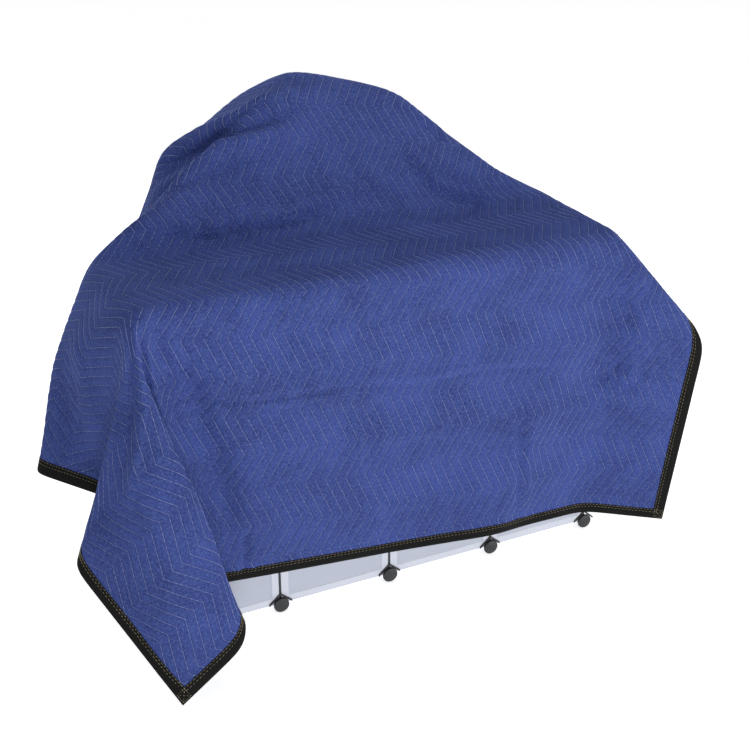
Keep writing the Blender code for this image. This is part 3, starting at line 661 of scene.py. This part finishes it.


# %% [markdown]
# ## Woven cotton and polyester
#
# The blanket's faces are a matte blue weave of cotton and polyester, brushed a little by use. To
# the eye it is blue with a greyer bloom where fibre ends catch the light, so it gets a high
# roughness, a little sheen, and a tone built in layers: wide wear, rubs, small patches, pale warp
# yarns, dark weft yarns, and a painted shade that deepens the blue towards each row of stitches.
# Yarns are noise on the flat cloth that is squeezed along one direction, so that it draws out into
# threads. Real yarns are about 0.5 mm wide, too fine to show at this distance, so they are drawn
# 1.8 mm wide.

# %% The cloth's material
YARN_DRAWN = 0.0018
YARN_STRETCH = 0.22
PATCH_SIZE = 0.0055
WEAR_SIZE = 0.140
RUB_SIZE = 0.038
PADDING_SIZE = 0.012


def quilted_cloth_material():
    """Blue weave: a tone in layers, then a bump of yarns and of the lumpy padding."""
    material = new_material("brushed_cotton_polyester_weave", "#2C3A78", 0.95,
                            **{"Sheen Weight": 0.20, "Sheen Roughness": 0.4,
                               "Sheen Tint": colour("#6485E6"), "Specular IOR Level": 0.2})
    flat = add_node(material, "ShaderNodeUVMap", {}, uv_map="flat_cloth")
    yarns = []
    for stretch in ((1.0, YARN_STRETCH, 1.0), (YARN_STRETCH, 1.0, 1.0)):
        drawn = add_node(material, "ShaderNodeMapping", {"Vector": flat, "Scale": stretch})
        yarns.append(add_node(material, "ShaderNodeTexNoise", {
            "Vector": drawn, "Scale": 1.0 / YARN_DRAWN, "Detail": 3.0, "Roughness": 0.6}))
    wear, rubs, patches, padding = (
        add_node(material, "ShaderNodeTexNoise",
                 {"Vector": flat, "Scale": 1.0 / size, "Detail": 4.0, "Roughness": 0.6})
        for size in (WEAR_SIZE, RUB_SIZE, PATCH_SIZE, PADDING_SIZE))
    # painted shade: the depth between crests, stored on the panel, read to darken the blue towards
    # each row of stitches
    channel = add_node(material, "ShaderNodeAttribute", {}, output="Fac", attribute_name="channel")
    layers = (
        # (what is read, from, to, how strongly, colour)
        (wear, 0.36, 0.64, 1.0, "#344488"),
        (rubs, 0.48, 0.68, 0.5, "#3F518E"),
        (patches, 0.46, 0.68, 0.75, "#53639C"),
        (yarns[0], 0.46, 0.70, 0.55, "#5466A2"),
        (yarns[1], 0.46, 0.66, 0.62, "#1B265E"),
        # painted shade: a darker blue, up to 35 percent, blended in towards each row of stitches
        (channel, 0.30, 1.00, 0.35, "#1A2358"),
    )
    tone = "#25326B"
    for value, low, high, most, tint in layers:
        share = add_node(material, "ShaderNodeMapRange", {
            "Value": value, "From Min": low, "From Max": high, "To Max": most})
        tone = add_node(material, "ShaderNodeMix", {"Factor": share, 6: tone, 7: tint}, output=2,
                        data_type="RGBA")
    both = add_node(material, "ShaderNodeMath", {0: yarns[0], 1: yarns[1]}, operation="ADD")
    bump = add_node(material, "ShaderNodeBump",
                    {"Height": both, "Strength": 0.45, "Distance": 0.0012})
    bump = add_node(material, "ShaderNodeBump",
                    {"Height": padding, "Strength": 0.6, "Distance": 0.0050, "Normal": bump})
    return dress(material, tone, bump)


cloth = quilted_cloth_material()
panel = build_panel(cloth)
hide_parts("blanket_panel")
print("panel:", triangles_of(panel), "triangles")

# %% [markdown]
# ## Quilting thread
#
# A lock stitch lies on the cloth between two needle holes and dives at each hole. Each row is a
# slim three-sided strand whose height swings up and down from point to point. The real thread is
# about 0.8 mm thick and is drawn 1.1 mm wide, so that it shows at the photograph's distance.

# %% A sewn strand
THREAD_WIDTH = 0.0011
THREAD_RISE = 0.0008
THREAD_STEP = POINT_STEP / 2.0
FIRST_STITCH = BINDING_WIDTH * 0.8
LAST_STITCH = SHORT_SIDE - BINDING_WIDTH * 0.75
TUCKED_IN = BINDING_WIDTH * 0.6
STRAND_LOW = 0.45  # shares of a strand's width that its sides lie below the line
STRAND_HIGH = 0.25  # and its top above it


def strand(places, offsets, width, closed=False):
    """Points and faces of strands along flat places, an array of strands by steps by two.

    Each step has a left, a top and a right point. Sideways is the cross product of the cloth's
    normal and the strand's own direction."""
    s, t = places[..., 0], places[..., 1]
    middle = cloth_point(s, t, offsets)
    normal = unit(sample(NORMAL_GRID, s, t))
    if closed:
        along = np.roll(middle, -1, axis=1) - np.roll(middle, 1, axis=1)
    else:
        along = np.gradient(middle, axis=1)
    across = unit(np.cross(normal, along))
    low = middle - normal * width * STRAND_LOW
    points = np.stack((low - across * width / 2.0, middle + normal * width * STRAND_HIGH,
                       low + across * width / 2.0), axis=2)
    strands, steps = s.shape
    number = np.arange(strands * steps * 3).reshape(strands, steps, 3)
    after = np.roll(number, -1, axis=1)
    if not closed:
        after = after[:, :-1]
        number = number[:, :-1]
    sides = [np.stack((number[..., k], number[..., (k + 1) % 3], after[..., (k + 1) % 3],
                       after[..., k]), axis=-1).reshape(-1, 4) for k in range(3)]
    faces = np.concatenate(sides)
    return points.reshape(-1, 3), faces[:, ::-1].tolist(), (strands, steps)


def with_end_caps(points, faces, shape):
    """Close both ends of open strands with a triangle each."""
    strands, steps = shape
    for start in range(0, strands * steps * 3, steps * 3):
        end = start + (steps - 1) * 3
        faces += [[start, start + 1, start + 2], [end + 2, end + 1, end]]
    return points, faces


# %% Thread material
def two_tone_material(name, roughness, tones, cloud, grain, bump, **settings):
    """A material whose two tones drift into each other in clouds of one size, with a bump of
    another, finer size. Both noises read the piece's own coordinates, in metres."""
    material = new_material(name, tones[0], roughness, **settings)
    place = add_node(material, "ShaderNodeTexCoord", {}, output="Object")
    drift, fine = (
        add_node(material, "ShaderNodeTexNoise", {"Vector": place, "Scale": 1.0 / size, "Detail": 3.0})
        for size in (cloud, grain))
    tone = add_node(material, "ShaderNodeMix", {"Factor": drift, 6: tones[0], 7: tones[1]}, output=2,
                    data_type="RGBA")
    normal = add_node(material, "ShaderNodeBump",
                      {"Height": fine, "Strength": bump, "Distance": 0.0005})
    return dress(material, tone, normal)


def thread_material(name, tones):
    """Spun polyester thread: slightly glossy, soiled in places, with a fine twist as bump."""
    return two_tone_material(name, 0.62, tones, cloud=0.040, grain=0.0011, bump=0.4,
                             **{"Sheen Weight": 0.1})


# %% Rows of quilting
def quilting_rows(material):
    """All zigzag rows from the front hem to the back hem, cut off where they meet a side hem.

    A row that leaves the panel is held just inside the binding, where it is hidden."""
    row = np.arange(-1, QUILT_INTERVALS + 2)
    t = np.arange(FIRST_STITCH, LAST_STITCH, THREAD_STEP)
    t = t + np.mod(FIRST_KINK - FIRST_STITCH, THREAD_STEP)
    t = t[t < LAST_STITCH]
    s_rows, t_rows = np.meshgrid(BINDING_WIDTH + row * ROW_PITCH, t, indexing="ij")
    s_rows = s_rows + zigzag(t_rows)
    hidden = (s_rows < TUCKED_IN) | (s_rows > LONG_SIDE - TUCKED_IN)
    s_rows = np.clip(s_rows, TUCKED_IN, LONG_SIDE - TUCKED_IN)
    swing = np.where(np.arange(len(t)) % 2 == 0, 0.0, THREAD_RISE)
    base = STITCHED_HALF * squeeze(s_rows, t_rows)
    offsets = base + np.where(hidden, -STITCHED_HALF / 2.0, swing)
    places = np.stack((s_rows, t_rows), axis=-1)
    points, faces = with_end_caps(*strand(places, offsets, THREAD_WIDTH))
    return new_piece("quilting_thread", points, faces, material)


quilt_thread = quilting_rows(thread_material("spun_polyester_thread_grey", ("#9CA6CC", "#6A76AE")))
print("quilting thread:", triangles_of(quilt_thread), "triangles")

# %% [markdown]
# ## Binding
#
# A woven tape is folded over the panel's raw edge and sewn down through all layers. It is a loop
# of U-shaped sections with mitred corners: a point at a given width lies on a rectangle that much
# smaller than the cloth, at the same share of its side. Small dents mark the two rows of sewing.

# %% Binding
BINDING_STEP = 0.005
SEWING_ROWS = (0.0272, 0.0205)
TUCKED_OFFSET = 0.0019
BINDING_SECTION = (
    # (width from the folded edge, offset above the cloth's middle)
    (0.0300, TUCKED_OFFSET), (0.0300, 0.0027), (0.0295, 0.0030), (0.0285, 0.0031),
    (0.0272, 0.0026), (0.0255, 0.0032), (0.0205, 0.0027), (0.0180, 0.0032), (0.0120, 0.0034),
    (0.0060, 0.0033), (0.0025, 0.0029), (0.0006, 0.0018), (0.0000, 0.0006),
)


def border_places(width):
    """Flat places once round a rectangle that much inside the cloth's edge."""
    runs = []
    for side in (LONG_SIDE, SHORT_SIDE):
        steps = int(round(side / BINDING_STEP))
        runs.append(width + np.arange(steps) / steps * (side - 2.0 * width))
    s_run, t_run = runs
    s = np.concatenate((s_run, np.full_like(t_run, LONG_SIDE - width), LONG_SIDE - s_run,
                        np.full_like(t_run, width)))
    t = np.concatenate((np.full_like(s_run, width), t_run,
                        np.full_like(s_run, SHORT_SIDE - width), SHORT_SIDE - t_run))
    return s, t


def build_binding(material):
    """Sweep the closed U section round the border."""
    outer = list(BINDING_SECTION)
    outer += [(width, -offset) for width, offset in reversed(BINDING_SECTION[:-1])]
    section = outer + [(BINDING_WALL, -TUCKED_OFFSET), (BINDING_WALL, TUCKED_OFFSET)]
    rings = []
    places = []
    for width, offset in section:
        s, t = border_places(width)
        rings.append(cloth_point(s, t, offset * squeeze(s, t)))
        places.append(np.stack((s, t), axis=-1))
    points = np.stack(rings, axis=1)
    around, steps = points.shape[:2]
    number = np.arange(around * steps).reshape(around, steps)
    after = np.roll(number, -1, axis=0)
    faces = np.stack((number, np.roll(number, -1, axis=1), np.roll(after, -1, axis=1), after),
                     axis=-1).reshape(-1, 4)
    uv = np.stack(places, axis=1).reshape(-1, 2)
    return new_piece("binding_tape", points.reshape(-1, 3), faces[:, ::-1], material,
                     uv)


# %% Binding material
LINT_SIZE = 0.0042
RIB_PITCH = 0.0024
WAVE_PERIODS = 20.0 / (2.0 * math.pi)


def binding_material():
    """Black woven tape: near black, matte, with ribs across it and a little grey lint."""
    material = new_material("woven_polypropylene_tape", "#0C0C0B", 0.9,
                            **{"Specular IOR Level": 0.2})
    flat = add_node(material, "ShaderNodeUVMap", {}, uv_map="flat_cloth")
    lint = add_node(material, "ShaderNodeTexNoise",
                    {"Vector": flat, "Scale": 1.0 / LINT_SIZE, "Detail": 3.0})
    share = add_node(material, "ShaderNodeMapRange",
                     {"Value": lint, "From Min": 0.5, "From Max": 0.8, "To Max": 0.35})
    tone = add_node(material, "ShaderNodeMix", {"Factor": share, 6: "#0C0C0B", 7: "#262624"},
                    output=2, data_type="RGBA")
    ribs = add_node(material, "ShaderNodeTexWave",
                    {"Vector": flat, "Scale": 1.0 / (RIB_PITCH * WAVE_PERIODS), "Distortion": 0.6},
                    output="Fac", bands_direction="DIAGONAL")
    bump = add_node(material, "ShaderNodeBump",
                    {"Height": ribs, "Strength": 0.5, "Distance": 0.0006})
    return dress(material, tone, bump)


binding = build_binding(binding_material())
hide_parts("blanket_binding")
print("binding:", triangles_of(binding), "triangles")

# %% [markdown]
# The tape is sewn with two rows of beige thread near its inner edge, and each corner is locked by
# a square with a cross in it. Real stitches are about 6 mm long. They are drawn 10 mm long, two
# steps of the border, so that they show.

# %% Sewing on the binding
TAPE_TOP = 0.0031
STITCH_RISE = 0.0006
STITCH_DIP = 0.0007
HEM_SINK = 0.0003
BOX_LIFT = 0.0002
BOX_NEAR = 0.0050
BOX_FAR = 0.0270
BOX_POINTS = 9
SEW_WIDTH = 0.0008


def swinging(count):
    """Heights of a lock stitch: high in the middle of a stitch, sunk at its ends."""
    return TAPE_TOP + np.where(np.arange(count) % 2 == 0, STITCH_RISE, -STITCH_DIP)


def hem_rows(width):
    """One closed row of stitches all round, a given width from the edge."""
    s, t = border_places(width)
    places = np.stack((s, t), axis=-1)[None]
    offsets = swinging(places.shape[1])[None] - HEM_SINK
    points, faces, _ = strand(places, offsets, SEW_WIDTH, closed=True)
    return points, faces


def corner_box(s_sign, t_sign):
    """A square and its two diagonals of stitches at one corner, as six open strands."""
    near, far = BOX_NEAR, BOX_FAR
    corners = np.array(((near, near), (far, near), (far, far), (near, far)))
    starts, ends = corners[[0, 1, 2, 3, 0, 1]], corners[[1, 2, 3, 0, 2, 3]]
    share = np.linspace(0.0, 1.0, BOX_POINTS)[:, None]
    places = starts[:, None] * (1.0 - share) + ends[:, None] * share
    if s_sign < 0:
        places[..., 0] = LONG_SIDE - places[..., 0]
    if t_sign < 0:
        places[..., 1] = SHORT_SIDE - places[..., 1]
    offsets = np.broadcast_to(swinging(BOX_POINTS) + BOX_LIFT, places.shape[:2])
    return with_end_caps(*strand(places, offsets, SEW_WIDTH))


def sewing_on_binding(material):
    """Join the hem rows and the corner squares into one piece."""
    parts = [hem_rows(width) for width in SEWING_ROWS]
    parts += [corner_box(a, b) for a in (1, -1) for b in (1, -1)]
    points = []
    faces = []
    for part_points, part_faces in parts:
        shift = sum(len(p) for p in points)
        points.append(part_points)
        faces += [[corner + shift for corner in face] for face in part_faces]
    return new_piece("binding_thread", np.concatenate(points), faces, material)


binding_thread = sewing_on_binding(
    thread_material("spun_polyester_thread_beige", ("#CDBF9C", "#8F8468")))
print("binding thread:", triangles_of(binding_thread), "triangles")

# %% [markdown]
# ## The rack
#
# Only a strip of the rack shows: frosted doors with a paler frame, slim black posts and round
# connectors at the feet. The doors are pressed sheets, so each is a slab whose front has a raised
# frame, worked out on a grid. The plates that never show keep their construction solids with the
# same plastic.


# %% Frosted plastic
def frosted_material(name, tones):
    """Frosted polypropylene sheet: pale grey, satin, a little light passing through it."""
    return two_tone_material(name, 0.48, tones, cloud=0.170, grain=0.0014, bump=0.15,
                             **{"Subsurface Weight": 0.15, "Subsurface Radius": (0.02, 0.02, 0.02),
                                "Subsurface Scale": 0.2, "Coat Weight": 0.05})


frosted = frosted_material("frosted_polypropylene_sheet", ("#A4A9B8", "#B0B5C2"))
pale_frosted = frosted_material("frosted_polypropylene_frame", ("#BCC0CC", "#C6C9D4"))
# Moulded polypropylene, dark grey in the light, satin, with a fine leathery grain.
black = two_tone_material("moulded_black_polypropylene", 0.5, ("#141517", "#222427"),
                          cloud=0.018, grain=0.0024, bump=0.3)

for node_name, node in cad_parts.items():
    if not node_name.startswith("blanket"):
        slim = node_name.startswith(("post", "cap", "connector"))
        node.data.materials.clear()
        node.data.materials.append(black if slim else frosted)
print("carried-over nodes dressed")

# %% Doors
FRAME_WIDTH = 0.020
FRAME_RISE = 0.0008
STEP_WIDTH = 0.003
EDGE_WIDTH = 0.0012
EDGE_DROP = 0.0010
SECOND_LINE = 0.004
DOOR_BOW = 0.0006
MIDDLE_POINTS = 9


def door_grid(low, high):
    """Front face of a door: heights over a grid that is dense at the frame's inner edge.

    The frame stands FRAME_RISE proud of the panel, with an eased step 3 mm wide."""
    def runs(start, end):
        near = start + np.array([0.0, EDGE_WIDTH, SECOND_LINE, FRAME_WIDTH - STEP_WIDTH / 2.0,
                                 FRAME_WIDTH, FRAME_WIDTH + STEP_WIDTH / 2.0])
        middle = np.linspace(start + 2.0 * FRAME_WIDTH, end - 2.0 * FRAME_WIDTH, MIDDLE_POINTS)
        far = end - (near - start)[::-1]
        return np.concatenate((near, middle, far))
    x, z = np.meshgrid(runs(low.x, high.x), runs(low.z, high.z), indexing="ij")
    inset = np.minimum(np.minimum(x - low.x, high.x - x), np.minimum(z - low.z, high.z - z))
    step = np.clip((inset - FRAME_WIDTH) / STEP_WIDTH + 0.5, 0.0, 1.0)
    edge = np.clip(inset / EDGE_WIDTH, 0.0, 1.0)
    depth = FRAME_RISE * ease(step) + EDGE_DROP * (1.0 - edge) ** 2
    bow = DOOR_BOW * np.sin(np.pi * (x - low.x) / (high.x - low.x))
    return x, low.y + depth + bow * step, z, inset


def build_door(node_name):
    """A closed slab: the front grid, and the same outline at the back."""
    low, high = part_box(node_name)
    x, y, z, inset = door_grid(low, high)
    front = np.stack((x, y, z), axis=-1)
    back = np.stack((x, np.full(x.shape, high.y), z), axis=-1)
    rows, columns = x.shape
    shift = rows * columns
    faces = grid_faces(rows, columns).tolist()
    faces += grid_faces(rows, columns, shift, flipped=True).tolist()
    number = np.arange(shift).reshape(rows, columns)
    loop = [*number[:, 0], *number[-1, 1:], *number[-2::-1, -1], *number[0, -2:0:-1]]
    for a, b in zip(loop, loop[1:] + loop[:1]):
        faces.append([b, a, a + shift, b + shift])
    points = np.concatenate((front.reshape(-1, 3), back.reshape(-1, 3)))
    piece = new_piece(node_name.replace("door", "door_sheet"), points, faces, frosted,
                      smooth=False)
    piece.data.materials.append(pale_frosted)
    middle = np.array([inset.ravel()[list(face)[0] % shift] for face in faces])
    framed = (middle < FRAME_WIDTH - 0.001).astype(np.int32)
    piece.data.polygons.foreach_set("material_index", framed)
    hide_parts(node_name)
    return piece


doors = [build_door(name) for name in sorted(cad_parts) if name.startswith("door")]
print("doors:", len(doors), "with", triangles_of(doors[0]), "triangles each")

# %% [markdown]
# ## Connectors
#
# A connector is a moulded disc about 41 mm across with a rolled rim, and a flat bar bent like a
# roof behind it that grips the two door corners. The disc is a profile turned round its axis. The
# lowest point of the rim is held at the floor, where the disc has a small flat.

# %% Connectors
DISC_RADIUS = 0.0205
FLAT_AT_FOOT = 0.0006
DISC_PROFILE = (
    # (radius, distance in front of the doors)
    (0.0000, 0.0098), (0.0060, 0.0098), (0.0160, 0.0094), (0.0168, 0.0088), (0.0180, 0.0088),
    (0.0188, 0.0093), (0.0197, 0.0091), (0.0203, 0.0084), (0.0205, 0.0074), (0.0205, 0.0034),
    (0.0201, 0.0026), (0.0000, 0.0026),
)
ROOF_PROFILE = ((-0.031, 0.000), (0.000, 0.027), (0.031, 0.000),
                (0.031, 0.006), (0.000, 0.033), (-0.031, 0.006))
ROOF_FRONT = 0.0034
ROOF_BACK = 0.0003
DISC_STEPS = 56
SHARP_ANGLE = 40.0


def build_connector(index):
    """Turn the disc's profile about an axis along Y, and add the bent bar behind it."""
    low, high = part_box(f"connector_{index}")
    centre = Vector(((low.x + high.x) / 2.0, RACK_CORNER[1], DISC_RADIUS - FLAT_AT_FOOT))
    angle = np.linspace(0.0, 2.0 * np.pi, DISC_STEPS, endpoint=False)
    profile = np.array(DISC_PROFILE)
    x = centre.x + profile[:, None, 0] * np.sin(angle)
    z = np.maximum(centre.z + profile[:, None, 0] * np.cos(angle), 0.0)
    y = np.broadcast_to(centre.y - profile[:, None, 1], x.shape)
    disc = np.stack((x, y, z), axis=-1)
    rings = len(profile)
    number = np.arange(rings * DISC_STEPS).reshape(rings, DISC_STEPS)
    after = np.roll(number, -1, axis=1)
    faces = np.stack((number[:-1], number[1:], after[1:], after[:-1]), axis=-1)
    faces = faces.reshape(-1, 4).tolist()
    roof = np.array([(centre.x + x_roof, centre.y - depth, centre.z + z_roof)
                     for depth in (ROOF_FRONT, ROOF_BACK) for x_roof, z_roof in ROOF_PROFILE])
    shift = rings * DISC_STEPS
    count = len(ROOF_PROFILE)
    front = [shift + k for k in range(count)]
    rear = [shift + count + k for k in range(count)]
    faces += [[front[0], front[1], front[4], front[5]], [front[1], front[2], front[3], front[4]]]
    faces += [[rear[5], rear[4], rear[1], rear[0]], [rear[4], rear[3], rear[2], rear[1]]]
    for k in range(count):
        m = (k + 1) % count
        faces.append([front[m], front[k], rear[k], rear[m]])
    points = np.concatenate((disc.reshape(-1, 3), roof))
    piece = new_piece(f"connector_disc_{index}", points, faces, black)
    work = bmesh.new()
    work.from_mesh(piece.data)
    bmesh.ops.remove_doubles(work, verts=work.verts[:], dist=SAME_PLACE)
    bmesh.ops.recalc_face_normals(work, faces=work.faces[:])
    work.to_mesh(piece.data)
    work.free()
    piece.data.set_sharp_from_angle(angle=math.radians(SHARP_ANGLE))
    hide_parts(f"connector_{index}")
    return piece


connectors = [build_connector(k) for k in range(5)]
print("connectors:", len(connectors), "with", triangles_of(connectors[0]), "triangles each")

# %% [markdown]
# ## Floor, light and camera
#
# The floor is a plain pale plane that glows a little, so that it runs into the white behind it as
# in a studio. Soft light comes from square panels: a key from the front right, which rakes across
# the quilting, a fill from the front for the hanging corner's ridge, and large ones overhead and
# behind. The camera stands a little above the blanket and to
# the left of its middle, turned 25.7 degrees and looking 25 degrees down, as in the photograph.

# %% Floor and light
FLOOR_SIDE = 40.0
FLOOR_DROP = 0.0005
FLOOR_GLOW = 0.70
ROOM_LIGHT = 0.32
LIGHTS = (
    # (name, place, target, side in metres, power in watts)
    ("key", (2.7, -4.0, 0.9), (0.1, 0.0, 0.5), 1.2, 86.0),
    ("fill", (-1.6, -4.2, 0.9), (-0.3, 0.0, 0.5), 1.0, 44.0),
    ("overhead", (0.2, 0.4, 3.6), (0.0, 0.0, 0.7), 2.6, 35.0),
    ("back", (-0.6, 3.4, 1.6), (0.0, 0.2, 0.8), 2.4, 28.0),
)


def build_floor():
    """A wide plain plane a hair under the feet."""
    material = new_material("pale_painted_floor", "#F4F4F3", 0.9,
                            **{"Emission Color": colour("#FFFFFF"),
                               "Emission Strength": FLOOR_GLOW})
    bpy.ops.mesh.primitive_plane_add(size=FLOOR_SIDE, location=(0.0, 0.0, -FLOOR_DROP))
    floor = bpy.context.object
    floor.name = "floor"
    floor.data.materials.append(material)
    return floor


def area_light(name, place, target, size, power):
    """A square soft light at a place, turned to a target."""
    data = bpy.data.lights.new(name, "AREA")
    data.shape = "SQUARE"
    data.size = size
    data.energy = power
    lamp = bpy.data.objects.new(name, data)
    lamp.location = place
    lamp.rotation_euler = (Vector(target) - Vector(place)).to_track_quat("-Z", "Y").to_euler()
    bpy.context.scene.collection.objects.link(lamp)
    return lamp


build_floor()
lamps = [area_light(*row) for row in LIGHTS]
world = bpy.data.worlds.new("studio")
bpy.context.scene.world = world
world.use_nodes = True
background = world.node_tree.nodes["Background"]
background.inputs["Color"].default_value = colour("#FFFFFF")
background.inputs["Strength"].default_value = ROOM_LIGHT
bpy.context.scene.view_settings.view_transform = "Standard"
print("lights:", len(lamps))

# %% Camera
CAMERA_FROM_RACK = Vector((-0.574, -2.394, 1.851))
CAMERA_DOWN = 25.0
CAMERA_TURN = 25.7
LENS = 57.6
SENSOR_WIDTH = 36.0
camera_data = bpy.data.cameras.new("camera")
camera_data.lens = LENS
camera_data.sensor_width = SENSOR_WIDTH
camera = bpy.data.objects.new("camera", camera_data)
camera.location = CAMERA_FROM_RACK + Vector(RACK_CORNER)
camera.rotation_euler = (math.radians(90.0 - CAMERA_DOWN), 0.0, math.radians(-CAMERA_TURN))
bpy.context.scene.collection.objects.link(camera)
bpy.context.scene.camera = camera
print("camera:", np.round(camera.location, 3).tolist())

# %% Update the scene
bpy.context.view_layer.update()
